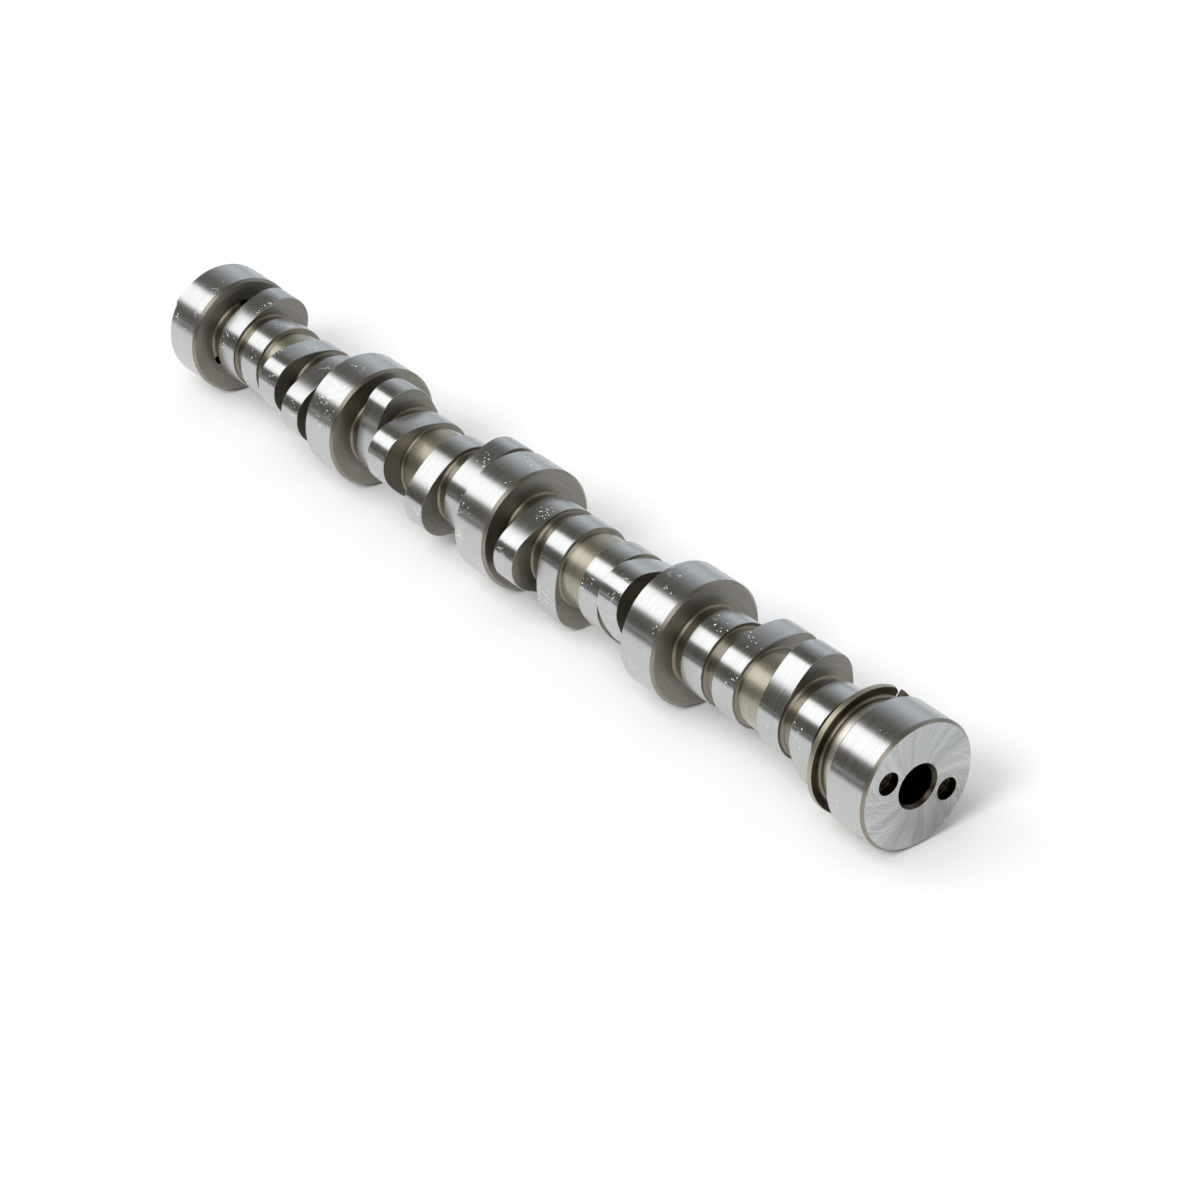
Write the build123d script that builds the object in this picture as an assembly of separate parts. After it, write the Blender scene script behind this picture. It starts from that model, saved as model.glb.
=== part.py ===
from build123d import *
from math import acos, degrees, radians, tan
import os

# A one-piece camshaft for an eight-cylinder pushrod engine, and the dowel pin
# pressed into its front end.  Millimetres and degrees.
#
# The shaft lies along +X: x = 0 is the front end face, where the chain sprocket
# bolts on, and X runs to the rear.  Angles about the shaft start at +Y and turn
# towards +Z, so they run counterclockwise for someone looking at the rear end.

# ---- bearing journals ---------------------------------------------------
journal_dia = 55.0
journal_width = 20.8
journal_chamfer = 1.2
bearing_pitch = 111.76       # journals 1 to 4, centre to centre
last_bearing_pitch = 123.65  # journal 4 to journal 5
bay_count = 4                # bays of four lobes, one behind each of journals 1 to 4

# ---- lobes --------------------------------------------------------------
lobe_width = 12.5
outer_lobe_offset = 23.3     # lobe centre to the centre of the journal beside it
inner_lobe_offset = 42.4     # the next lobe, from the same journal
valve_lift = 8.55            # rise of the nose over the base circle
nose_clearance = 0.45        # the nose stays this far inside the journal radius
intake_nose_radius = 13.7
exhaust_nose_radius = 14.2
intake_flank_radius = 46.6
exhaust_flank_radius = 44.7

# ---- timing -------------------------------------------------------------
firing_order = (1, 8, 7, 2, 6, 5, 4, 3)
firing_step = 45.0           # shaft turn between two firings
bank_angle = 45.0            # each bank's followers lean this far from upright
lobe_separation = 111.6      # exhaust nose ahead of intake nose, one cylinder
shaft_roll = 2.25            # how far the whole shaft is turned as it lies

# ---- necks between the lobes and journals --------------------------------
neck_relief = 2.0            # the neck lies this far below the base circle
neck_flare = 1.5             # height and length of the flare at a neck's two roots
flare_land = 0.2             # flat left between a flare and the base circle

# ---- sensor ring and the groove between it and the rear journal ----------
ring_clearance = 0.55        # radial; the ring has to slide through the bearings
ring_thickness = 2.4
ring_edge_break = 0.3
groove_width = 8.6
groove_dia = 45.0
groove_flare = 1.2
ring_slot_width = 3.6
ring_slot_angle = 48.7
ring_slot_depth = 3.6
slot_lip_length = 3.4        # bevel on the slot's upper lip, around the ring
slot_lip_depth = 1.5         # the same bevel, towards the shaft axis

# ---- front end ----------------------------------------------------------
hub_step = 5.5               # radial; width of journal 1's front face outside the hub
hub_length = 6.5
hub_chamfer = 1.0
bolt_breakout = 1.4          # the drills stand this far outside the neck behind journal 1
bolt_count = 3
bolt_hole_dia = 6.8          # tapping size for an 8 mm thread
bolt_hole_runout = 3.3       # the drill breaks out past the first journal
bolt_angle = 88.5
front_centre_dia = 8.0
front_centre_depth = 14.0
front_centre_mouth_dia = 12.0

# ---- sprocket dowel -----------------------------------------------------
dowel_dia = 6.4
dowel_stick_out = 6.4
dowel_seat_depth = 10.0
dowel_chamfer = 0.7
dowel_play = 0.01            # radial, a model's stand-in for the press fit

# ---- rear end -----------------------------------------------------------
rear_bore_dia = 16.8
rear_bore_depth = 40.0
rear_bore_mouth_dia = 19.4
rear_bore_mouth_depth = 1.5
side_hole_circle_dia = 33.0
side_hole_count = 2
side_hole_angle = 154.0
side_hole_dia = 8.5          # tapping size for a 10 mm thread
side_hole_depth = 21.0
side_relief_dia = 9.7        # plain mouth, wider than the thread
side_relief_depth = 3.2
drill_point_angle = 118.0
centre_angle = 60.0

# ---- worked out ---------------------------------------------------------
journal_r = journal_dia / 2
base_r = journal_r - nose_clearance - valve_lift
neck_r = base_r - neck_relief
root_flare = min(neck_flare, neck_relief - 2 * flare_land)
lobe_core_r = neck_r + root_flare + flare_land
bolt_circle_r = neck_r + bolt_breakout - bolt_hole_dia / 2
hub_r = journal_r - hub_step
ring_r = journal_r - ring_clearance
first_journal_x = hub_length + journal_width / 2
journal_x = [first_journal_x + bay * bearing_pitch for bay in range(bay_count)]
journal_x.append(journal_x[-1] + last_bearing_pitch)
rear_x = journal_x[-1] + journal_width / 2
groove_front_x = journal_x[-1] - journal_width / 2 - groove_width
ring_front_x = groove_front_x - ring_thickness


def lobe_stations():
    """Yield (centre x, cylinder, is_intake) for every lobe, front to rear.

    A bay serves one cylinder of each bank.  Its two outer lobes open the intake
    valves and its two inner lobes the exhaust valves.
    """
    offsets = (
        outer_lobe_offset,
        inner_lobe_offset,
        bearing_pitch - inner_lobe_offset,
        bearing_pitch - outer_lobe_offset,
    )
    for bay in range(bay_count):
        odd = 2 * bay + 1
        even = odd + 1
        order = ((odd, True), (even, False), (odd, False), (even, True))
        for offset, (cylinder, is_intake) in zip(offsets, order):
            yield journal_x[bay] + offset, cylinder, is_intake


def nose_angle(cylinder, is_intake):
    """Direction of a lobe's nose about the shaft, from the firing order."""
    turns = firing_order.index(cylinder)
    lean = bank_angle if cylinder % 2 else -bank_angle
    intake = shaft_roll - firing_step * turns + lean
    return intake if is_intake else intake + lobe_separation


def lobe_outline(is_intake):
    """A lobe's section with its nose along +X: base, two flanks and nose.

    All four are arcs, each tangent to the next.  The flank's centre lies where
    its distances to the base centre and to the nose centre are the differences
    of the radii.
    """
    nose_r = intake_nose_radius if is_intake else exhaust_nose_radius
    flank_r = intake_flank_radius if is_intake else exhaust_flank_radius
    nose_x = base_r + valve_lift - nose_r
    to_base = flank_r - base_r
    to_nose = flank_r - nose_r
    swing = acos((to_base**2 + nose_x**2 - to_nose**2) / (2 * to_base * nose_x))
    flank_centre = Vector(to_base, 0).rotate(Axis.Z, -degrees(swing))
    base_end = flank_centre.normalized() * -base_r
    nose_centre = Vector(nose_x, 0)
    nose_end = nose_centre + (nose_centre - flank_centre).normalized() * nose_r
    flank_mid = flank_centre + (base_end + nose_end - flank_centre * 2).normalized() * flank_r
    with BuildSketch() as section:
        with BuildLine():
            ThreePointArc(base_end, (-base_r, 0), (base_end.X, -base_end.Y))
            ThreePointArc(base_end, flank_mid, nose_end)
            ThreePointArc(nose_end, (base_r + valve_lift, 0), (nose_end.X, -nose_end.Y))
            ThreePointArc(
                (base_end.X, -base_end.Y),
                (flank_mid.X, -flank_mid.Y),
                (nose_end.X, -nose_end.Y),
            )
        make_face()
    return section.sketch


def along_shaft(x, angle=0.0, radius=0.0):
    """A plane square to the shaft, facing the rear, turned by angle about it."""
    place = Plane(origin=(x, 0, 0), x_dir=(0, 1, 0), z_dir=(1, 0, 0))
    return place * Rot(0, 0, angle) * Pos(radius, 0, 0)


def lobe_blank(is_intake):
    """One lobe at the origin, axis +Z, nose along +X."""
    return extrude(lobe_outline(is_intake), amount=lobe_width / 2, both=True)


def band(x_from, x_to, radius):
    """A step of the half section: from the shaft axis out to radius."""
    return Pos((x_from + x_to) / 2, radius / 2) * Rectangle(x_to - x_from, radius)


def turned_body():
    """All that is turned about the axis: hub, journals, necks, ring and groove."""
    half = band(0, hub_length + journal_chamfer, hub_r)
    half += band(journal_x[0], journal_x[-1], neck_r)
    half += band(ring_front_x, journal_x[-1], groove_dia / 2)
    for x in journal_x:
        half += band(x - journal_width / 2, x + journal_width / 2, journal_r)
    half += band(ring_front_x, groove_front_x, ring_r)
    for x, _, _ in lobe_stations():
        half += band(x - lobe_width / 2, x + lobe_width / 2, lobe_core_r)

    def corners(radius, x_from=0.0, x_to=rear_x):
        picked = half.vertices().filter_by_position(Axis.X, x_from - 0.01, x_to + 0.01)
        return picked.filter_by_position(Axis.Y, radius - 0.001, radius + 0.001)

    half = chamfer(corners(journal_r), journal_chamfer)
    half = chamfer(corners(hub_r, 0, 0), hub_chamfer)
    half = chamfer(corners(neck_r), root_flare)
    half = chamfer(corners(ring_r), ring_edge_break)
    half = chamfer(corners(groove_dia / 2, groove_front_x, rear_x), groove_flare)
    return revolve(half, Axis.X)


def drilled(x, angle, radius, dia, depth, towards):
    """A drilled hole with its point, running from x in direction towards (+1 or -1)."""
    point = dia / 2 / tan(radians(drill_point_angle / 2))
    turn = Rot(0, 0, 0) if towards > 0 else Rot(180, 0, 0)
    place = along_shaft(x, angle, radius) * turn
    wall = Cylinder(dia / 2, depth, align=(Align.CENTER, Align.CENTER, Align.MIN))
    tip = Cone(dia / 2, 0, point, align=(Align.CENTER, Align.CENTER, Align.MIN))
    return place * wall + place * Pos(0, 0, depth) * tip


def mouth(x, angle, radius, outer_dia, inner_dia, depth, towards):
    """The widened mouth of a hole: a cone from outer_dia down to inner_dia."""
    turn = Rot(0, 0, 0) if towards > 0 else Rot(180, 0, 0)
    shape = Cone(outer_dia / 2, inner_dia / 2, depth, align=(Align.CENTER, Align.CENTER, Align.MIN))
    return along_shaft(x, angle, radius) * turn * shape


def front_holes():
    """Three sprocket bolt holes, the dowel hole and the turning centre."""
    holes = Part()
    depth = hub_length + journal_width + bolt_hole_runout
    for number in range(bolt_count):
        angle = bolt_angle + number * 360 / bolt_count
        hole = Cylinder(bolt_hole_dia / 2, depth, align=(Align.CENTER, Align.CENTER, Align.MIN))
        holes += along_shaft(0, angle, bolt_circle_r) * hole
    seat_r = dowel_dia / 2 + dowel_play
    seat = Cylinder(seat_r, dowel_seat_depth, align=(Align.CENTER, Align.CENTER, Align.MIN))
    holes += along_shaft(0, dowel_angle(), bolt_circle_r) * seat
    cone_depth = (front_centre_mouth_dia - front_centre_dia) / 2 / tan(radians(centre_angle / 2))
    holes += drilled(0, 0, 0, front_centre_dia, front_centre_depth, 1)
    holes += mouth(0, 0, 0, front_centre_mouth_dia, front_centre_dia, cone_depth, 1)
    return holes


def rear_holes():
    """The blind centre bore and the two tapped holes beside it."""
    holes = drilled(rear_x, 0, 0, rear_bore_dia, rear_bore_depth, -1)
    holes += mouth(rear_x, 0, 0, rear_bore_mouth_dia, rear_bore_dia, rear_bore_mouth_depth, -1)
    for number in range(side_hole_count):
        angle = side_hole_angle + number * 360 / side_hole_count
        radius = side_hole_circle_dia / 2
        holes += drilled(rear_x, angle, radius, side_hole_dia, side_hole_depth, -1)
        relief = Cylinder(
            side_relief_dia / 2,
            side_relief_depth,
            align=(Align.CENTER, Align.CENTER, Align.MAX),
        )
        holes += along_shaft(rear_x, angle, radius) * relief
    return holes


def ring_slot():
    """The sensor slot, open to both sides of the ring, with its upper lip bevelled."""
    side = ring_slot_width / 2
    floor_r = ring_r - ring_slot_depth
    section = Polyline(
        (floor_r, -side),
        (ring_r + slot_lip_depth, -side),
        (ring_r + slot_lip_depth, side + 2 * slot_lip_length),
        (ring_r - slot_lip_depth, side),
        (floor_r, side),
        close=True,
    )
    slot = extrude(make_face(section), amount=ring_thickness + groove_flare)
    return along_shaft(ring_front_x, ring_slot_angle) * slot


def dowel_angle():
    """The dowel sits on the bolt circle, midway between two bolts."""
    return bolt_angle + 180 / bolt_count


def build_camshaft():
    shaft = turned_body()
    blanks = {is_intake: lobe_blank(is_intake) for is_intake in (True, False)}
    for x, cylinder, is_intake in lobe_stations():
        shaft += along_shaft(x, nose_angle(cylinder, is_intake)) * blanks[is_intake]
    shaft -= ring_slot()
    shaft -= front_holes()
    shaft -= rear_holes()
    return shaft


def build_dowel():
    length = dowel_seat_depth + dowel_stick_out
    pin = Cylinder(dowel_dia / 2, length, align=(Align.CENTER, Align.CENTER, Align.MIN))
    pin = chamfer(pin.edges().filter_by(GeomType.CIRCLE), dowel_chamfer)
    return along_shaft(-dowel_stick_out, dowel_angle(), bolt_circle_r) * pin


os.makedirs("parts", exist_ok=True)
for name, shape in (("camshaft", build_camshaft()), ("sprocket_dowel_pin", build_dowel())):
    box = shape.bounding_box()
    print(name, "volume", round(shape.volume), "size", [round(v, 2) for v in box.size])
    export_step(shape, f"parts/{name}.step")
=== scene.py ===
# %% [markdown]
# # A ground steel camshaft
#
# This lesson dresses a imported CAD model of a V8 camshaft. The CAD gives the size
# and the place of every lobe. Here the same form is worked out again on a finer
# grid, with its true root radii, broken edges and threads, and each surface gets
# the finish that its last machine left on it: ground, turned, faced or bored.

# %% The frame
import math

import bpy
import numpy as np
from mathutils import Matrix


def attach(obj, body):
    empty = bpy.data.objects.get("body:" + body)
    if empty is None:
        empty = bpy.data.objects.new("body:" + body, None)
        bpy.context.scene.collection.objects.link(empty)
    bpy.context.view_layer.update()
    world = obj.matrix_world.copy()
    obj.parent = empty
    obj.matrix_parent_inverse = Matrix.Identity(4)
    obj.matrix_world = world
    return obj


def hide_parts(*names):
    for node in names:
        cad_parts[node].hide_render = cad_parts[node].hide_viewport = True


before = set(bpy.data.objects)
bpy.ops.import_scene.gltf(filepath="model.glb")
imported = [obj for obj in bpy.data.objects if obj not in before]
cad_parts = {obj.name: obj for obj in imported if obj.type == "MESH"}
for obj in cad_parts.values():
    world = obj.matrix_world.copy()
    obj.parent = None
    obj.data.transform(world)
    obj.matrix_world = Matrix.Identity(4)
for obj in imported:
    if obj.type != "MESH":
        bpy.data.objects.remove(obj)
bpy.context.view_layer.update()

MM = 0.001
print("CAD nodes:", sorted(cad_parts))

# %% [markdown]
# ## Where everything sits along the shaft
#
# A camshaft is designed as a list of stations: bearing journals at the block's
# bore spacing, and four lobes in each bay between them. The same numbers drove
# the CAD, so the fine surface drops into its place. Millimetres are used until
# the mesh is written, because that is how a camshaft drawing is dimensioned.

# %% Sizes in millimetres
JOURNAL_R, JOURNAL_WIDTH, JOURNAL_CHAMFER = 27.5, 20.8, 1.2
PITCH, LAST_PITCH = 111.76, 123.65
LOBE_WIDTH, LOBE_EDGE = 12.5, 0.3
NECK_R, ROOT = 16.5, 1.5
BASE_R, LIFT = 18.5, 8.55
HUB_R, HUB_LENGTH, HUB_CHAMFER = 22.0, 6.5, 1.0
RING_R, RING_THICKNESS, RING_EDGE = 26.95, 2.4, 0.3
GROOVE_R, GROOVE_WIDTH, GROOVE_ROOT = 22.5, 8.6, 1.2
BAYS = 4

journal_x = [HUB_LENGTH + JOURNAL_WIDTH / 2 + PITCH * k for k in range(BAYS)]
journal_x.append(journal_x[-1] + LAST_PITCH)
REAR_X = journal_x[-1] + JOURNAL_WIDTH / 2
RING_X = REAR_X - JOURNAL_WIDTH - GROOVE_WIDTH - RING_THICKNESS
print("journal centres:", [round(x, 2) for x in journal_x])
print("ring at", round(RING_X, 2), "and rear face at", round(REAR_X, 2))

# %% [markdown]
# ## Which way each lobe points
#
# Every cylinder fires once in two turns of the crankshaft, which is one turn of
# the camshaft, so eight firings are 45 degrees apart. A cylinder's exhaust lobe
# runs 111.6 degrees ahead of its intake lobe, and the two banks lean 45 degrees
# either way from upright.

# %% Lobe stations and nose directions
FIRING_ORDER = (1, 8, 7, 2, 6, 5, 4, 3)
FIRING_STEP, BANK_LEAN, EXHAUST_LEAD = 45.0, 45.0, 111.6
SHAFT_ROLL = 2.25
OUTER_LOBE, INNER_LOBE = 23.3, 42.4


def nose_direction(cylinder, intake):
    """Degrees from +Y towards +Z: firing place, bank lean, and exhaust lead."""
    lean = BANK_LEAN if cylinder % 2 else -BANK_LEAN
    angle = SHAFT_ROLL - FIRING_STEP * FIRING_ORDER.index(cylinder) + lean
    return angle + (0.0 if intake else EXHAUST_LEAD)


lobes = []
for bay in range(BAYS):
    offsets = (OUTER_LOBE, INNER_LOBE, PITCH - INNER_LOBE, PITCH - OUTER_LOBE)
    valves = ((1, True), (2, False), (1, False), (2, True))
    for offset, (side, intake) in zip(offsets, valves):
        nose = nose_direction(2 * bay + side, intake)
        lobes.append((journal_x[bay] + offset, nose, intake))
print("lobes:", len(lobes), "first nose at", round(lobes[0][1], 1), "degrees")

# %% [markdown]
# ## The lobe's outline
#
# A roller lobe could be a spline through lift values. Three kinds of arc are
# simpler and look the same: the base circle, two long flanks and the nose, each
# tangent to the next. A ray from the shaft's centre meets each arc once, so the
# outline is a radius for every angle, which is just what a grid needs.

# %% Lobe outline as a radius for every angle
COLUMNS = 216
INTAKE_ARCS, EXHAUST_ARCS = (13.7, 46.6), (14.2, 44.7)
turn = np.arange(COLUMNS) * 2 * np.pi / COLUMNS


def lobe_radius(angle, nose_r, flank_r):
    """Distance from the shaft's centre to the lobe, at an angle from its nose.

    A circle of radius R centred at C is met by the ray u at u.C + sqrt(R^2 -
    |C|^2 + (u.C)^2). The base circle is centred on the shaft, the nose circle lies
    on the nose line, and the flank's centre is flank_r - BASE_R from the first and
    flank_r - nose_r from the second, which makes both joints tangent.
    """
    away = np.abs((angle + np.pi) % (2 * np.pi) - np.pi)
    ray = np.stack([np.cos(away), np.sin(away)])
    nose_c = np.array([BASE_R + LIFT - nose_r, 0.0])
    a, b, d = flank_r - BASE_R, flank_r - nose_r, nose_c[0]
    along = (a * a - b * b + d * d) / (2 * d)
    flank_c = np.array([along, -math.sqrt(a * a - along * along)])
    base_joint = math.atan2(-flank_c[1], -flank_c[0])
    joint = nose_c + (nose_c - flank_c) / b * nose_r
    nose_joint = math.atan2(joint[1], joint[0])

    def meet(centre, radius):
        dot = centre @ ray
        return dot + np.sqrt(np.maximum(radius**2 - centre @ centre + dot**2, 0.0))

    flank = np.where(away < base_joint, meet(flank_c, flank_r), BASE_R)
    return np.where(away < nose_joint, meet(nose_c, nose_r), flank)


outlines = np.stack([
    lobe_radius(turn - math.radians(nose), *(INTAKE_ARCS if intake else EXHAUST_ARCS))
    for _, nose, intake in lobes
])
print("lobe radii in mm:", outlines.min().round(2), "to", outlines.max().round(2))

# %% [markdown]
# ## The path along the shaft
#
# The whole outside is one grid: a path of stations along the shaft, times the
# angle around it. A station is either round, with a radius, or follows a lobe's
# outline, a little inside it where the edge is broken. Two stations at the same
# place along the shaft make a flat side face. Each stretch between stations
# remembers its finish, so that the materials can follow it.

# %% Stations along the shaft
FINISHES = (
    "cylindrically_ground_bearing",
    "ground_lobe",
    "turned_side",
    "turned_neck",
    "turned_root",
    "broken_edge",
    "faced_end",
    "drilled_wall",
    "groove_side_painted_shade",
    "groove_floor_brown_to_pale",
    "turned_rim",
)
(BEARING, LOBE, SIDE, NECK, ROOT_TURN, EDGE,
 END, HOLE, GROOVE_SIDE, GROOVE_FLOOR, RIM) = range(len(FINISHES))
ROUND = -1
FILLET_POINTS = 5
path = []


def station(x, radius, finish, lobe=ROUND):
    """A ring at x, and the finish from there to the next ring.

    On a lobe, radius is how far the ring stands off that lobe's outline.
    """
    path.append((x, radius, lobe, finish))


def root(x, floor_r, size, rising, floor=ROOT_TURN):
    """A quarter-circle fillet between a floor and the side face at x.

    Rising, it runs x - size (1 - sin t), floor_r + size (1 - cos t), t from 0 to
    90 degrees. Falling is its mirror image, and floor is the finish behind it.
    """
    steps = np.radians(np.linspace(0, 90, FILLET_POINTS))
    for t in steps if rising else steps[::-1]:
        reach = size * (1 - math.sin(t))
        where = x - reach if rising else x + reach
        station(where, floor_r + size * (1 - math.cos(t)), ROOT_TURN)
    path[-1] = path[-1][:3] + (SIDE if rising else floor,)


def journal(x, front_root=True, rear_root=True):
    """Chamfer, bearing band and chamfer, with a neck on the sides that have one."""
    front, rear = x - JOURNAL_WIDTH / 2, x + JOURNAL_WIDTH / 2
    if front_root:
        root(front, NECK_R, ROOT, True)
    station(front, JOURNAL_R - JOURNAL_CHAMFER, EDGE)
    station(front + JOURNAL_CHAMFER, JOURNAL_R, BEARING)
    station(rear - JOURNAL_CHAMFER, JOURNAL_R, EDGE)
    station(rear, JOURNAL_R - JOURNAL_CHAMFER, SIDE if rear_root else END)
    if rear_root:
        root(rear, NECK_R, ROOT, False)


def lobe_stations(number):
    """Side face, broken edge, ground band, broken edge and side face of one lobe.

    The long neck in the middle of a bay, behind its second lobe, is the only one
    wide enough to show a turned band between its two roots.
    """
    x = lobes[number][0]
    front, rear = x - LOBE_WIDTH / 2, x + LOBE_WIDTH / 2
    corner = LOBE_EDGE * (1 - math.sqrt(0.5))
    root(front, NECK_R, ROOT, True)
    station(front, -LOBE_EDGE, LOBE, number)
    station(front + corner, -corner, LOBE, number)
    station(front + LOBE_EDGE, 0.0, LOBE, number)
    station(rear - LOBE_EDGE, 0.0, LOBE, number)
    station(rear - corner, -corner, LOBE, number)
    station(rear, -LOBE_EDGE, SIDE, number)
    root(rear, NECK_R, ROOT, False, NECK if number % 4 == 1 else ROOT_TURN)


station(0.0, HUB_R - HUB_CHAMFER, EDGE)
station(HUB_CHAMFER, HUB_R, SIDE)
station(HUB_LENGTH, HUB_R, SIDE)
journal(journal_x[0], front_root=False)
for bay in range(BAYS):
    for number in range(4 * bay, 4 * bay + 4):
        lobe_stations(number)
    if bay + 1 < BAYS:
        journal(journal_x[bay + 1])
root(RING_X, NECK_R, ROOT, True)
station(RING_X, RING_R - RING_EDGE, RIM)
station(RING_X + RING_EDGE, RING_R, RIM)
station(RING_X + RING_THICKNESS - RING_EDGE, RING_R, RIM)
station(RING_X + RING_THICKNESS, RING_R - RING_EDGE, GROOVE_SIDE)
root(RING_X + RING_THICKNESS, GROOVE_R, GROOVE_ROOT, False, GROOVE_FLOOR)
root(REAR_X - JOURNAL_WIDTH, GROOVE_R, GROOVE_ROOT, True)
journal(journal_x[-1], front_root=False, rear_root=False)
print("stations:", len(path), "quads:", len(path) * COLUMNS)

# %% [markdown]
# ## From stations to a mesh
#
# Every vertex is x, r cos a, r sin a, worked out for all stations and all angles
# at once. The ends are closed by a fan to one vertex on the axis. The holes are
# cut afterwards with closed shapes made by the same function, as a drill and a
# tap would cut them.

# %% A closed surface from rings
materials = {}


def steel_object(name, points, faces, marks):
    """Mesh object whose faces take their finishes from marks, a number for each."""
    mesh = bpy.data.meshes.new(name)
    mesh.from_pydata(points, [], faces)
    for finish_name in FINISHES:
        mesh.materials.append(materials[finish_name])
    mesh.polygons.foreach_set("material_index", marks.astype(np.int32))
    mesh.update()
    made = bpy.data.objects.new(name, mesh)
    bpy.context.scene.collection.objects.link(made)
    return made


def ring_solid(name, x, radius, finish, centre=(0.0, 0.0)):
    """Mesh object from rings: rows of x and of radius (rows by columns), in mm.

    Vertex = (x, centre_y + r cos a, centre_z + r sin a). Quads join each ring to
    the next one, and a fan closes each end, so the surface has no open edge. The
    fans take the last ring's finish.
    """
    rows, columns = radius.shape
    a = np.arange(columns) * 2 * np.pi / columns
    grid = np.empty((rows, columns, 3))
    grid[..., 0] = x[:, None]
    grid[..., 1] = centre[0] + radius * np.cos(a)
    grid[..., 2] = centre[1] + radius * np.sin(a)
    poles = [[x[0], centre[0], centre[1]], [x[-1], centre[0], centre[1]]]
    points = np.concatenate([grid.reshape(-1, 3), poles]) * MM
    here = np.arange(rows * columns).reshape(rows, columns)
    beside = np.roll(here, -1, axis=1)
    quads = np.stack([here[:-1], beside[:-1], beside[1:], here[1:]], -1).reshape(-1, 4)
    front = np.stack([np.full(columns, rows * columns), beside[0], here[0]], -1)
    rear = np.stack([np.full(columns, rows * columns + 1), here[-1], beside[-1]], -1)
    faces = quads.tolist() + front.tolist() + rear.tolist()
    marks = np.concatenate([np.repeat(finish[:-1], columns), np.full(2 * columns, finish[-1])])
    return steel_object(name, points.tolist(), faces, marks)


# %% [markdown]
# ## Finishes
#
# All of it is one alloy steel, so the colours stay close together. What differs
# is the last tool. A grinding wheel leaves grooves of a few hundredths of a
# millimetre that run round the shaft: across them a reflection is smeared, and
# along them it stays crisp, which is what an anisotropic metal shader does. A
# lathe leaves coarser rings and a warmer, duller grey, because that skin still
# carries the thin oxide of heat treatment.

# %% Colour and node helpers


def linear(hex_colour):
    """An sRGB hex colour as linear red, green, blue and alpha."""
    parts = [int(hex_colour[k:k + 2], 16) / 255 for k in (1, 3, 5)]
    return [c / 12.92 if c <= 0.04045 else ((c + 0.055) / 1.055) ** 2.4 for c in parts] + [1.0]


def add(tree, kind, inputs=(), **settings):
    """Add a node, set its settings, and set or link each named or numbered input."""
    made = tree.nodes.new(kind)
    for key, value in settings.items():
        setattr(made, key, value)
    for key, value in dict(inputs).items():
        if isinstance(value, bpy.types.NodeSocket):
            tree.links.new(value, made.inputs[key])
        else:
            made.inputs[key].default_value = value
    return made


def calculate(tree, operation, *values):
    """The result of one Math node."""
    return add(tree, "ShaderNodeMath", enumerate(values), operation=operation).outputs[0]


def rescale(tree, value, low, high, new_low=0.0, new_high=1.0, curve="LINEAR"):
    """Carry low to high over to new_low to new_high, and hold the ends."""
    inputs = {"Value": value, "From Min": low, "From Max": high}
    inputs.update({"To Min": new_low, "To Max": new_high})
    return add(tree, "ShaderNodeMapRange", inputs, interpolation_type=curve).outputs[0]


def blend(tree, amount, first, second):
    """A colour that goes from first to second as amount goes from 0 to 1."""
    inputs = {0: amount, 6: first, 7: second}
    return add(tree, "ShaderNodeMix", inputs, data_type="RGBA").outputs[2]


def noise(tree, place, scale, detail=2.0, roughness=0.5):
    """Outputs of a Noise Texture node, with scale in bumps a metre."""
    inputs = {"Vector": place, "Scale": scale, "Detail": detail, "Roughness": roughness}
    return add(tree, "ShaderNodeTexNoise", inputs).outputs


def shaded_point(tree):
    """The point in the shaft's frame: as a vector, and as its X, Y and Z outputs."""
    place = add(tree, "ShaderNodeTexCoord").outputs["Object"]
    return place, add(tree, "ShaderNodeSeparateXYZ", {0: place}).outputs


def off_axis(tree, parts):
    """The way out from the shaft's axis to the point, and its length."""
    out = add(tree, "ShaderNodeCombineXYZ", {"Y": parts["Y"], "Z": parts["Z"]}).outputs[0]
    length = add(tree, "ShaderNodeVectorMath", {0: out}, operation="LENGTH")
    return out, length.outputs["Value"]


def new_material(name, metallic=1.0):
    """A node material with a Principled shader alone, its tree and its shader."""
    material = bpy.data.materials.new(name)
    material.use_nodes = True
    tree = material.node_tree
    tree.nodes.clear()
    shader = add(tree, "ShaderNodeBsdfPrincipled", {"Metallic": metallic})
    add(tree, "ShaderNodeOutputMaterial", {"Surface": shader.outputs["BSDF"]})
    materials[name] = material
    return tree, shader


# %% [markdown]
# ## Tool marks
#
# Real grinding marks are a few hundredths of a millimetre apart, too fine to show
# when the whole shaft is in view. They are drawn about ten times coarser, so that
# the steel still shows faint lines round it. Lathe rings are drawn near their real
# pitch of some tenths of a millimetre.

# %% Tool marks and surface helpers
DRIFT = 30.0


def tool_marks(tree, spacing_mm, rings):
    """Noise squeezed across the tool's path and long along it.

    Round the shaft (rings False) it varies with x. On a face (rings True) it
    varies with the distance from the axis. Either way it changes slowly along y
    and z, DRIFT times a metre, so that no groove runs all the way round unchanged.
    """
    _, parts = shaded_point(tree)
    across = off_axis(tree, parts)[1] if rings else parts["X"]
    fast = calculate(tree, "MULTIPLY", across, 1 / (spacing_mm * MM))
    slow_y = calculate(tree, "MULTIPLY", parts["Y"], DRIFT)
    slow_z = calculate(tree, "MULTIPLY", parts["Z"], DRIFT)
    where = add(tree, "ShaderNodeCombineXYZ", {"X": fast, "Y": slow_y, "Z": slow_z})
    return noise(tree, where.outputs[0], 1.0, 3.0)["Fac"]


def span(tree, value, low, high):
    """Stretch a 0.3 to 0.7 noise value to low to high."""
    return rescale(tree, value, 0.3, 0.7, low, high)


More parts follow.
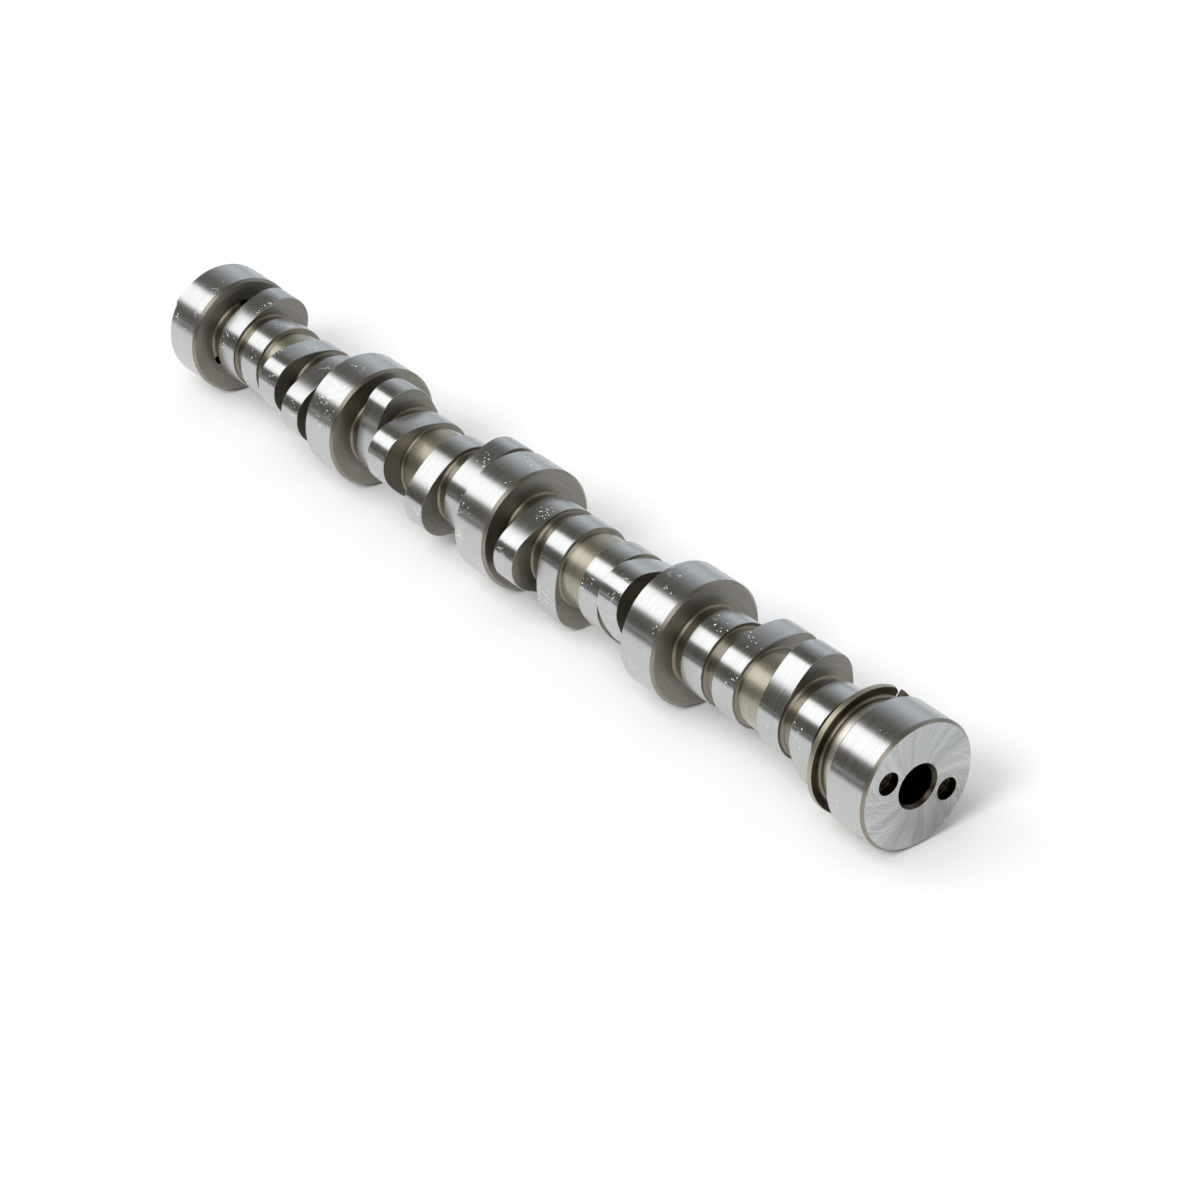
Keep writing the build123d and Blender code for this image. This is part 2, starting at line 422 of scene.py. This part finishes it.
def tint(tree, value, dark, light):
    """Mix two hex colours by a 0.3 to 0.7 noise value."""
    return blend(tree, span(tree, value, 0.0, 1.0), linear(dark), linear(light))


def bump(tree, height, depth_mm):
    """Surface relief of depth_mm from a 0 to 1 height."""
    inputs = {"Height": height, "Strength": 1.0, "Distance": depth_mm * MM}
    return add(tree, "ShaderNodeBump", inputs).outputs[0]


def smear_across(tree, shader, amount):
    """Blur a reflection across grooves that run round the shaft, not along them."""
    shader.inputs["Anisotropic"].default_value = amount
    shader.inputs["Anisotropic Rotation"].default_value = 0.25
    way = add(tree, "ShaderNodeTangent", direction_type="RADIAL", axis="X")
    tree.links.new(way.outputs[0], shader.inputs["Tangent"])


def oil_film(shader, amount):
    """A thin, clear film of preserving oil, which whitens the brightest glints."""
    shader.inputs["Coat Weight"].default_value = amount
    shader.inputs["Coat Roughness"].default_value = 0.15


# %% Specks of oil
SPECK_CELL, SPECK_NOISE, SPECK_PUSH = 1.1 * MM, 0.8 * MM, 0.9 * MM
SPECK_RIM, SPECK_CORE = 0.3, 0.18
PATCHES, PATCH_LOW, PATCH_HIGH = 75.0, 0.55, 0.67
FEWER_FROM, FEWER_TO, FEWER_SHARE = 0.3, 0.42, 0.25


def speck_mask(tree):
    """1 on tiny dried specks of oil, 0 elsewhere.

    Voronoi cells, pushed out of shape by a fine noise, have a speck where the
    distance to the cell's point is short. A cell keeps its speck where its own
    random number is below a slow noise, PATCHES times a metre, so the specks
    gather in patches about 13 mm wide. From FEWER_FROM to FEWER_TO along x their
    number falls to FEWER_SHARE.
    """
    place, parts = shaded_point(tree)
    fine = noise(tree, place, 1 / SPECK_NOISE)["Color"]
    push = {0: fine, 1: (SPECK_PUSH,) * 3, 2: place}
    push = add(tree, "ShaderNodeVectorMath", push, operation="MULTIPLY_ADD").outputs[0]
    cells = {"Vector": push, "Scale": 1 / SPECK_CELL}
    cells = add(tree, "ShaderNodeTexVoronoi", cells).outputs
    dot = rescale(tree, cells["Distance"], SPECK_RIM, SPECK_CORE)
    spread = rescale(tree, noise(tree, place, PATCHES)["Fac"], PATCH_LOW, PATCH_HIGH)
    fewer = rescale(tree, parts["X"], FEWER_FROM, FEWER_TO, 1.0, FEWER_SHARE)
    spread = calculate(tree, "MULTIPLY", spread, fewer)
    chance = add(tree, "ShaderNodeSeparateColor", {0: cells["Color"]}).outputs[0]
    kept = calculate(tree, "LESS_THAN", chance, spread)
    return calculate(tree, "MULTIPLY", dot, kept)


# %% One machined finish


def finish_material(name, dark, light, rough, spacing_mm, depth_mm,
                    rings=False, smear=0.0, film=0.0, specks=False):
    """One machined finish: two close colours, a roughness range and tool marks."""
    tree, shader = new_material(name)
    marks = tool_marks(tree, spacing_mm, rings)
    colour = tint(tree, marks, dark, light)
    if specks:
        mask = speck_mask(tree)
        colour = blend(tree, mask, colour, linear("#F4F4F0"))
        metal = calculate(tree, "SUBTRACT", 1.0, mask)
        tree.links.new(metal, shader.inputs["Metallic"])
    tree.links.new(colour, shader.inputs["Base Color"])
    tree.links.new(span(tree, marks, *rough), shader.inputs["Roughness"])
    tree.links.new(bump(tree, marks, depth_mm), shader.inputs["Normal"])
    if smear:
        smear_across(tree, shader, smear)
    if film:
        oil_film(shader, film)
    return materials[name]


# %% The end faces' finish
FAN_BEND, FAN_SCALE, FAN_DETAIL, FAN_ROUGHNESS = 12.0, 4.0, 6.0, 0.62
SWEEP_BEND, SWEEP_SCALE, SWEEP_DETAIL = 50.0, 24.0, 3.0
SWEEP_LOW, SWEEP_HIGH, SWEEP_WEIGHT, SWEEP_PATCHES = 0.54, 0.66, 0.3, 50.0


def face_material(name, dark, light, rough, depth_mm, smear):
    """An end face: a facing cut crossed by the sweeps of a cup wheel.

    Streaks fan out from the axis, because each is a noise of the direction
    (y, z) / r alone. The sweeps are the same noise turned by an angle that grows
    with r, which bends them into arcs. The streaks' pale and dark colours are
    partly tool marks and partly painted sheen, the fan of light a faced surface throws.
    """
    tree, shader = new_material(name)
    place, parts = shaded_point(tree)
    out, reach = off_axis(tree, parts)
    way = add(tree, "ShaderNodeVectorMath", {0: out}, operation="NORMALIZE").outputs[0]

    def swung(bend):
        """The direction from the axis, turned by bend radians a metre."""
        angle = calculate(tree, "MULTIPLY", reach, bend)
        inputs = {"Vector": way, "Axis": (1.0, 0.0, 0.0), "Angle": angle}
        return add(tree, "ShaderNodeVectorRotate", inputs, rotation_type="AXIS_ANGLE").outputs[0]

    fan = noise(tree, swung(FAN_BEND), FAN_SCALE, FAN_DETAIL, FAN_ROUGHNESS)["Fac"]
    sweep = noise(tree, swung(SWEEP_BEND), SWEEP_SCALE, SWEEP_DETAIL)["Fac"]
    thin = rescale(tree, sweep, SWEEP_LOW, SWEEP_HIGH, 0.0, SWEEP_WEIGHT)
    patch = noise(tree, place, SWEEP_PATCHES)["Fac"]
    thin = calculate(tree, "MULTIPLY", thin, span(tree, patch, 0.0, 1.0))
    both = calculate(tree, "ADD", fan, thin)
    tree.links.new(tint(tree, both, dark, light), shader.inputs["Base Color"])
    tree.links.new(span(tree, both, *rough), shader.inputs["Roughness"])
    tree.links.new(bump(tree, both, depth_mm), shader.inputs["Normal"])
    smear_across(tree, shader, smear)
    return materials[name]


# %% The groove's finish
BROWN_REACH = 0.3


def groove_material(name, brown, pale, rough, spacing_mm, depth_mm, smear, film):
    """The sensor ring's groove: brown beside the ring, pale behind it.

    The colour changes from brown to pale along x, over the first three tenths
    of the groove's width.
    """
    tree, shader = new_material(name)
    _, parts = shaded_point(tree)
    front = (RING_X + RING_THICKNESS + GROOVE_ROOT) * MM
    back = front + BROWN_REACH * GROOVE_WIDTH * MM
    paling = rescale(tree, parts["X"], front, back, curve="SMOOTHSTEP")
    colour = blend(tree, paling, linear(brown), linear(pale))
    tree.links.new(colour, shader.inputs["Base Color"])
    marks = tool_marks(tree, spacing_mm, False)
    tree.links.new(span(tree, marks, *rough), shader.inputs["Roughness"])
    tree.links.new(bump(tree, marks, depth_mm), shader.inputs["Normal"])
    smear_across(tree, shader, smear)
    oil_film(shader, film)
    return materials[name]


# %% The steel's finishes
# Bearings: long bright and dark bands, soft across the grinding, with white specks.
finish_material(FINISHES[BEARING], "#BEC0C1", "#CBCCCC", (0.21, 0.26), 0.45, 0.0004,
                smear=0.5, specks=True)
# Lobes: the same bright steel, a touch smoother, so the nose and flanks read as curves.
finish_material(FINISHES[LOBE], "#BDBFC0", "#CACBCB", (0.2, 0.25), 0.45, 0.0004,
                smear=0.5, specks=True)
# Side faces and hub: a dull warm grey with fine lathe rings, to set off the bright bands.
finish_material(FINISHES[SIDE], "#8F8B82", "#A09C93", (0.38, 0.44), 0.4, 0.003,
                rings=True, film=0.3)
# Long necks: a straw-coloured satin under an oily gloss.
finish_material(FINISHES[NECK], "#A39D89", "#B5AF9C", (0.41, 0.45), 0.4, 0.001,
                smear=0.4, film=1.0)
# Root radii and the narrow necks between lobes: a darker brown grey than the long necks, with one
# thin, wet-looking glint along each curve.
finish_material(FINISHES[ROOT_TURN], "#777060", "#857E6D", (0.3, 0.36), 0.6, 0.0003, film=1.0)
# Chamfers: a narrow warm line between a bright band and a dull face.
finish_material(FINISHES[EDGE], "#8D877B", "#9A9488", (0.28, 0.32), 0.5, 0.001, film=0.3)
# End faces: pale streaks that fan out from the middle, partly tool marks and partly painted sheen.
face_material(FINISHES[END], "#A4A6A7", "#DADBDA", (0.26, 0.4), 0.035, smear=0.6)
# Holes and the ring's slot: painted shade, a dark colour for the shade inside them, so that only a
# thread's crests catch light.
finish_material(FINISHES[HOLE], "#443C31", "#50493D", (0.28, 0.34), 0.4, 0.003, film=0.1)
# The ring's rear face: painted shade, a nearly black colour for the shade deep in the narrow
# groove, which reads as a deep line beside the ring.
finish_material(FINISHES[GROOVE_SIDE], "#3C362B", "#484134", (0.32, 0.38), 0.4, 0.003,
                rings=True, film=0.3)
# The groove's floor: brown beside the ring, clearing to a pale warm grey.
groove_material(FINISHES[GROOVE_FLOOR], "#7A6A4C", "#E8E4D8", (0.36, 0.42), 0.4, 0.001,
                smear=0.4, film=0.5)
# The ring's rim and its broken edges: an even, warm satin.
finish_material(FINISHES[RIM], "#A9A38F", "#B8B29E", (0.36, 0.4), 0.4, 0.002, film=0.3)
print("finishes:", len(materials))

# %% The shaft before its holes
path_x = np.array([s[0] for s in path])
path_level = np.array([s[1] for s in path])
path_lobe = np.array([s[2] for s in path])
path_finish = np.array([s[3] for s in path])
on_lobe = path_lobe[:, None] != ROUND
lobe_level = outlines[path_lobe] + path_level[:, None]
shaft_radius = np.where(on_lobe, lobe_level, path_level[:, None])
shaft = ring_solid("camshaft_fine", path_x, shaft_radius, path_finish)
print("shaft before holes:", len(shaft.data.polygons), "faces")

# %% [markdown]
# ## Holes and threads
#
# The front end takes three screws and a dowel for the chain sprocket. The rear
# end has a plain centre bore and two screw holes. A tapped hole could be a
# texture, but its mouth is in plain view, so the tap's own shape is used: a
# cylinder whose radius is a 60 degree zigzag along a helix.

# %% Drills and taps
COARSE = 48
# Cutters start CLEAR outside the face. A START_R is a conical mouth's radius there.
CLEAR, POINT_END = 1.0, 0.1
POINT_RISE = math.tan(math.radians(31))
BORE_R, BORE_START_R, BORE_CHAMFER, BORE_DEPTH = 8.4, 10.57, 1.5, 40.0
CENTRE_R, CENTRE_START_R, CENTRE_CONE, CENTRE_DEPTH = 4.0, 6.58, 3.46, 14.0
DOWEL_R, DOWEL_DEPTH, DOWEL_ANGLE = 3.21, 10.0, 148.5
REAR_CIRCLE, REAR_ANGLE, REAR_TAP_DEPTH = 16.5, 154.0, 21.0
REAR_MINOR, REAR_MAJOR, REAR_PITCH, REAR_STEPS = 4.25, 5.0, 1.5, 8
REAR_MOUTH_R, REAR_MOUTH_DEPTH, REAR_STEP_R = 4.85, 3.2, 4.3
REAR_THREAD_END, REAR_PLAIN_FROM = 20.3, 20.4
FRONT_CIRCLE, FRONT_ANGLE, FRONT_TAP_DEPTH = 14.5, 88.5, 30.6
FRONT_MINOR, FRONT_MAJOR, FRONT_PITCH, FRONT_STEPS = 3.4, 4.0, 1.25, 5
FRONT_START_R, FRONT_CHAMFER, FRONT_THREAD_END, FRONT_PLAIN_FROM = 5.0, 0.6, 24.0, 29.9


def thread_radius(x, minor_r, major_r, pitch, columns):
    """Radius of a tap: minor_r between grooves, major_r in them.

    u is the fraction of a pitch, x / pitch - a / 2 pi. The groove is the wave
    1 - |2u - 1| with its lowest quarter and highest eighth cut off flat.
    """
    a = np.arange(columns) / columns
    u = (x[:, None] / pitch - a) % 1.0
    wave = 1 - np.abs(2 * u - 1)
    return minor_r + (major_r - minor_r) * np.clip((wave - 0.25) / 0.625, 0, 1)


def drill_point(depth, hole_r):
    """Rows of a drill's end: full radius at depth, then its 118 degree point."""
    return [(depth, hole_r), (depth + (hole_r - POINT_END) * POINT_RISE, POINT_END)]


def drill(name, rows, centre, inwards, thread=None):
    """A closed cutter from rows of depth and radius, starting outside the face.

    Thread is (row, end depth, minor radius, major radius, pitch, steps a pitch):
    its rings follow the row with that number.
    """
    face = 0.0 if inwards > 0 else REAR_X
    depth = np.array([r[0] for r in rows], float)
    radius = np.repeat(np.array([r[1] for r in rows], float)[:, None], COARSE, axis=1)
    if thread:
        after, end, minor_r, major_r, pitch, steps = thread
        inner = np.arange(depth[after] + pitch / steps, end, pitch / steps)
        cut = thread_radius(inner, minor_r, major_r, pitch, COARSE)
        depth = np.insert(depth, after + 1, inner)
        radius = np.insert(radius, after + 1, cut, axis=0)
    x = face + inwards * depth
    if inwards < 0:
        x, radius = x[::-1], radius[::-1]
    return ring_solid(name, x, radius, np.full(len(x), HOLE), centre)


def on_circle(radius, degrees):
    """A point y, z at that distance and angle from the axis."""
    return radius * math.cos(math.radians(degrees)), radius * math.sin(math.radians(degrees))


# %% The cutters
bore = [(-CLEAR, BORE_START_R), (BORE_CHAMFER, BORE_R)]
bore += drill_point(BORE_DEPTH, BORE_R)
lathe_centre = [(-CLEAR, CENTRE_START_R), (CENTRE_CONE, CENTRE_R)]
lathe_centre += drill_point(CENTRE_DEPTH, CENTRE_R)
dowel_seat = [(-CLEAR, DOWEL_R), (DOWEL_DEPTH, DOWEL_R)]
cutters = [
    drill("rear_bore", bore, (0, 0), -1),
    drill("front_centre", lathe_centre, (0, 0), 1),
    drill("dowel_hole", dowel_seat, on_circle(FRONT_CIRCLE, DOWEL_ANGLE), 1),
]
for number in range(2):
    rows = [(-CLEAR, REAR_MOUTH_R), (REAR_MOUTH_DEPTH, REAR_MOUTH_R)]
    rows += [(REAR_MOUTH_DEPTH, REAR_STEP_R), (REAR_PLAIN_FROM, REAR_MINOR)]
    rows += drill_point(REAR_TAP_DEPTH, REAR_MINOR)
    thread = (2, REAR_THREAD_END, REAR_MINOR, REAR_MAJOR, REAR_PITCH, REAR_STEPS)
    place = on_circle(REAR_CIRCLE, REAR_ANGLE + 180 * number)
    cutters.append(drill(f"rear_tap_{number}", rows, place, -1, thread))
for number in range(3):
    rows = [(-CLEAR, FRONT_START_R), (FRONT_CHAMFER, FRONT_MINOR)]
    rows += [(FRONT_PLAIN_FROM, FRONT_MINOR), (FRONT_TAP_DEPTH, FRONT_MINOR)]
    thread = (1, FRONT_THREAD_END, FRONT_MINOR, FRONT_MAJOR, FRONT_PITCH, FRONT_STEPS)
    place = on_circle(FRONT_CIRCLE, FRONT_ANGLE + 120 * number)
    cutters.append(drill(f"front_tap_{number}", rows, place, 1, thread))
print("cutters:", [c.name for c in cutters])

# %% The ring's slot
SLOT_WIDTH, SLOT_ANGLE, SLOT_DEPTH = 3.6, 48.7, 3.6
LIP_LENGTH, LIP_DEPTH = 3.4, 1.5
SLOT_CLEAR = 0.02


def slot_cutter():
    """A flat-sided tool: a five-cornered outline carried along X.

    Each corner is (out, side): out c - side s and out s + side c put it at its
    place round the shaft, for the cosine and sine of the slot's angle.
    """
    half, floor_r, top = SLOT_WIDTH / 2, RING_R - SLOT_DEPTH, RING_R + LIP_DEPTH
    out = np.tile([floor_r, top, top, RING_R - LIP_DEPTH, floor_r], 2)
    side = np.tile([-half, -half, half + 2 * LIP_LENGTH, half, half], 2)
    x = np.repeat([RING_X - SLOT_CLEAR, RING_X + RING_THICKNESS + GROOVE_ROOT], 5)
    c, s = math.cos(math.radians(SLOT_ANGLE)), math.sin(math.radians(SLOT_ANGLE))
    points = np.stack([x, out * c - side * s, out * s + side * c], 1) * MM
    walls = [(k, (k + 1) % 5, (k + 1) % 5 + 5, k + 5) for k in range(5)]
    faces = [(4, 3, 2, 1, 0), (5, 6, 7, 8, 9)] + walls
    return steel_object("ring_slot", points.tolist(), faces, np.full(len(faces), HOLE))


cutters.append(slot_cutter())
print("slot", SLOT_WIDTH, "mm wide and", SLOT_DEPTH, "mm deep at", SLOT_ANGLE, "degrees")

# %% Cutting
# Fillet steps of 22.5 degrees are shaded smooth, and chamfers of 45 degrees sharp.
SHARP = math.radians(28)


def cut_all(target, tools):
    """Subtract every tool from the target, keep the result, and drop the tools."""
    for tool in tools:
        step = target.modifiers.new(tool.name, "BOOLEAN")
        step.operation = "DIFFERENCE"
        step.solver = "EXACT"
        step.material_mode = "TRANSFER"
        step.object = tool
    graph = bpy.context.evaluated_depsgraph_get()
    result = bpy.data.meshes.new_from_object(target.evaluated_get(graph))
    target.modifiers.clear()
    old, target.data = target.data, result
    bpy.data.meshes.remove(old)
    for tool in tools:
        bpy.data.objects.remove(tool)


cut_all(shaft, cutters)
shaft.data.polygons.foreach_set("use_smooth", np.ones(len(shaft.data.polygons), bool))
shaft.data.set_sharp_from_angle(angle=SHARP)
flatten = shaft.modifiers.new("flat faces stay flat", "WEIGHTED_NORMAL")
flatten.keep_sharp = True
shaft.data.calc_loop_triangles()
print("shaft with holes:", len(shaft.data.loop_triangles), "triangles,",
      len(shaft.data.materials), "finishes")

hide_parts("camshaft")
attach(shaft, "root")

# %% The dowel pin
# A smooth grey cylinder with a soft highlight, a little darker than the shaft.
# Its CAD shape is already right, so it only takes a finish.
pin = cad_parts["sprocket_dowel_pin"]
pin_finish = finish_material("centreless_ground_pin", "#A8A8A6", "#B4B4B2", (0.3, 0.36), 0.3, 0.001)
pin.material_slots[0].material = pin_finish
print("dowel:", len(pin.data.polygons), "faces, finish", pin_finish.name)

# %% [markdown]
# ## The studio
#
# Polished steel has no colour of its own to show, only its surroundings, so the
# studio does most of the work. A long soft box runs along the shaft on one side,
# a pale wall stands behind it, and the ceiling between them is dark. The world
# is a function of the angle around the shaft's direction, so every journal and
# lobe shows the same bands.

# %% World
WALLS = [
    (-180, "#5C5850"),
    (180, "#5C5850"),
    (-172, "#D8D8D6"),
    (-8, "#DDE2E6"),
    (2, "#C0C5C8"),
    (8, "#B9BFC3"),
    (22, "#DAE0E5"),
    (34, "#DAE0E5"),
    (50, "#B6BABD"),
    (65, "#8E8E8C"),
    (78, "#69665F"),
    (97, "#5C5850"),
]
END_WALL, END_FROM, END_FULL = "#BABCBD", 0.8, 0.97
BOX_CENTRE, BOX_HALF, BOX_RIM, BOX_LIGHT = 127.0, 20.5, 3.0, 1.7


def wall_colour(tree, angle):
    """The walls' colour at an angle in radians, from WALLS of (degrees, hex colour)."""
    ramp = add(tree, "ShaderNodeValToRGB", {0: rescale(tree, angle, -math.pi, math.pi)})
    stops = ramp.color_ramp.elements
    for number, (degrees, colour) in enumerate(WALLS):
        where = degrees / 360 + 0.5
        stop = stops[number] if number < 2 else stops.new(where)
        stop.position = where
        stop.color = linear(colour)
    return ramp.outputs[0]


def soft_box(tree, angle, end):
    """The soft box's light: BOX_LIGHT near BOX_CENTRE, none where end is 1."""
    off = calculate(tree, "SUBTRACT", angle, math.radians(BOX_CENTRE))
    off = calculate(tree, "ABSOLUTE", off)
    half, rim = math.radians(BOX_HALF), math.radians(BOX_RIM)
    window = rescale(tree, off, half + rim, half - rim)
    window = calculate(tree, "MULTIPLY", window, calculate(tree, "SUBTRACT", 1.0, end))
    return calculate(tree, "MULTIPLY", window, BOX_LIGHT)


def world_studio():
    """Paint the surroundings by the angle of a direction about the shaft's line.

    The angle is atan2(z, y). Where the direction's |x| goes from END_FROM to
    END_FULL, walls and soft box fade to an even grey, because real ones have ends.
    The camera itself sees plain white.
    """
    world = bpy.data.worlds.new("studio")
    bpy.context.scene.world = world
    world.use_nodes = True
    tree = world.node_tree
    tree.nodes.clear()
    way = add(tree, "ShaderNodeTexCoord").outputs["Generated"]
    parts = add(tree, "ShaderNodeSeparateXYZ", {0: way}).outputs
    angle = calculate(tree, "ARCTAN2", parts["Z"], parts["Y"])
    end = rescale(tree, calculate(tree, "ABSOLUTE", parts["X"]), END_FROM, END_FULL)
    walls = blend(tree, end, wall_colour(tree, angle), linear(END_WALL))
    glow = soft_box(tree, angle, end)
    white = linear("#FFFFFF")
    sky = add(tree, "ShaderNodeBackground", {"Color": walls, "Strength": 1.0}).outputs[0]
    box = add(tree, "ShaderNodeBackground", {"Color": white, "Strength": glow}).outputs[0]
    lit = add(tree, "ShaderNodeAddShader", {0: sky, 1: box}).outputs[0]
    paper = add(tree, "ShaderNodeBackground", {"Color": white, "Strength": 1.0}).outputs[0]
    seen = add(tree, "ShaderNodeLightPath").outputs["Is Camera Ray"]
    shown = add(tree, "ShaderNodeMixShader", {0: seen, 1: lit, 2: paper}).outputs[0]
    add(tree, "ShaderNodeOutputWorld", {"Surface": shown})


world_studio()
print("wall stops:", len(WALLS), "and a soft box", 2 * BOX_HALF, "degrees wide")

# %% [markdown]
# ## Lamps
#
# The world alone would leave the shaft without a clear shadow. A slanting sun
# throws it to the far side, and a wide one overhead makes it darkest close to the
# shaft. Mirrors don't see them, so the bands on the steel stay those of the world.

# %% Lamps
LAMPS = {
    "key_light": ((-0.16, 0.75, -0.64), 1.7, 24),
    "top_light": ((0.25, 0.1, -0.96), 0.85, 60),
}


def sun(name, towards, strength, width):
    """A sun lamp whose light travels along a vector, from a disc width degrees wide."""
    lamp = bpy.data.objects.new(name, bpy.data.lights.new(name, "SUN"))
    x, y, z = towards
    lamp.rotation_euler = (math.atan2(math.hypot(x, y), -z), 0, math.atan2(y, x) - math.pi / 2)
    lamp.data.energy = strength
    lamp.data.angle = math.radians(width)
    lamp.visible_glossy = False
    bpy.context.scene.collection.objects.link(lamp)


for name, settings in LAMPS.items():
    sun(name, *settings)
print("lamps:", list(LAMPS))

# %% [markdown]
# ## Floor
#
# The floor is a white board. Its brightness comes from the light on it, so the
# shaft's shadow is a real one. Polished steel beside it mirrors it, and there it
# has to be a shade darker, as a table is whose far side is away from the soft box.

# %% Floor
FLOOR_Z = -JOURNAL_R * MM
BOARD_HALF = 6.0
BOARD, BOARD_NEAR, BOARD_FAR = "#E6E6E6", "#E0E0E0", "#CBCDCF"
NEAR_Y, FAR_Y = 0.02, 0.09
BOARD_LIFT = 0.01


def floor_material():
    """Matt white board. Mirrors see BOARD_NEAR up to NEAR_Y, BOARD_FAR from FAR_Y on.

    For the camera alone, a lift of one hundredth brings it up to paper white.
    """
    tree, shader = new_material("white_board", 0.0)
    shader.inputs["Roughness"].default_value = 0.9
    shader.inputs["Specular IOR Level"].default_value = 0.0
    rays = add(tree, "ShaderNodeLightPath").outputs
    mirrored = calculate(tree, "MAXIMUM", rays["Is Glossy Ray"], rays["Is Transmission Ray"])
    _, parts = shaded_point(tree)
    across = rescale(tree, parts["Y"], NEAR_Y, FAR_Y)
    dim = blend(tree, across, linear(BOARD_NEAR), linear(BOARD_FAR))
    shade = blend(tree, mirrored, linear(BOARD), dim)
    tree.links.new(shade, shader.inputs["Base Color"])
    lift = calculate(tree, "MULTIPLY", rays["Is Camera Ray"], BOARD_LIFT)
    glow = add(tree, "ShaderNodeEmission", {"Color": linear("#FFFFFF"), "Strength": lift})
    both = add(tree, "ShaderNodeAddShader", {0: shader.outputs[0], 1: glow.outputs[0]})
    out = next(n for n in tree.nodes if n.type == "OUTPUT_MATERIAL")
    tree.links.new(both.outputs[0], out.inputs["Surface"])
    return materials["white_board"]


def sheet(name, corners, material):
    """One flat quad with the given corners."""
    mesh = bpy.data.meshes.new(name)
    mesh.from_pydata(corners, [], [(0, 1, 2, 3)])
    mesh.materials.append(material)
    made = bpy.data.objects.new(name, mesh)
    bpy.context.scene.collection.objects.link(made)
    return made


signs = [(-1, -1), (1, -1), (1, 1), (-1, 1)]
sheet("board", [(BOARD_HALF * x, BOARD_HALF * y, FLOOR_Z) for x, y in signs], floor_material())
print("board at z", round(FLOOR_Z / MM, 2), "mm")

# %% [markdown]
# ## Two cards
#
# Studios set a low black card beside polished steel, so that a dark line
# separates the soft box's reflection from the table's. A second card, grey and
# soft-edged, lies on the table in front of the rear face and darkens the face
# towards its foot: it is a painted shadow, a dark patch on the table that only
# the face's reflection shows. Only mirrors see the cards: they throw no shadow
# and the camera looks through them.

# %% Cards
BLACK_Y, BLACK_TOP = -0.2, 0.002
BLACK_ENDS = (-1.0, 1.5)
GREY_GAP, GREY_LENGTH, GREY_SIDES, GREY_LIFT = 0.001, 0.06, (-0.04, 0.1), 0.0002
GREY_MIDDLE, GREY_INNER, GREY_OUTER = (0.006, 0.026), 0.012, 0.036


def card_material(name, colour, centre=None):
    """Matt card. With a centre, it fades out from GREY_INNER to GREY_OUTER off it."""
    tree, shader = new_material(name, 0.0)
    shader.inputs["Base Color"].default_value = linear(colour)
    shader.inputs["Roughness"].default_value = 0.8
    if centre:
        place, _ = shaded_point(tree)
        off = add(tree, "ShaderNodeVectorMath", {0: place, 1: centre}, operation="DISTANCE")
        off = off.outputs["Value"]
        fade = rescale(tree, off, GREY_INNER, GREY_OUTER, 1.0, 0.0, "SMOOTHSTEP")
        tree.links.new(fade, shader.inputs["Alpha"])
    return materials[name]


left, right = BLACK_ENDS
standing = [(left, BLACK_Y, FLOOR_Z), (right, BLACK_Y, FLOOR_Z),
            (right, BLACK_Y, BLACK_TOP), (left, BLACK_Y, BLACK_TOP)]
near_x, card_z = REAR_X * MM + GREY_GAP, FLOOR_Z + GREY_LIFT
far_x = near_x + GREY_LENGTH
low_y, high_y = GREY_SIDES
lying = [(near_x, low_y, card_z), (far_x, low_y, card_z),
         (far_x, high_y, card_z), (near_x, high_y, card_z)]
middle = (REAR_X * MM + GREY_MIDDLE[0], GREY_MIDDLE[1], card_z)
cards = [
    sheet("black_card", standing, card_material("black_card", "#3A3833")),
    # The grey card is a painted shadow on the table, seen only in the rear face.
    sheet("mirrored_shadow_card", lying, card_material("mirrored_shadow_card", "#AEAEAC", middle)),
]
for card in cards:
    card.visible_camera = card.visible_diffuse = card.visible_shadow = False
print("cards:", [card.name for card in cards])

# %% [markdown]
# ## Camera
#
# A long lens from three quarters behind and above keeps all five journals in one
# slanting line, with little taper.

# %% Camera
AZIMUTH, ELEVATION = 52.3845, 31.5377
SENSOR, LENS = 36.0, 103.88
EYE = (1.24853, -0.73544, 0.72675)

camera = bpy.data.objects.new("camera", bpy.data.cameras.new("camera"))
bpy.context.scene.collection.objects.link(camera)
bpy.context.scene.camera = camera
camera.data.sensor_width = SENSOR
camera.data.lens = LENS
camera.location = EYE
camera.rotation_euler = (math.radians(90 - ELEVATION), 0, math.radians(AZIMUTH))
camera.data.clip_start, camera.data.clip_end = 0.05, 50.0

bpy.context.scene.view_settings.view_transform = "Standard"
print("camera", round(math.dist(EYE, (REAR_X * MM, 0, 0)), 2), "m from the rear face")
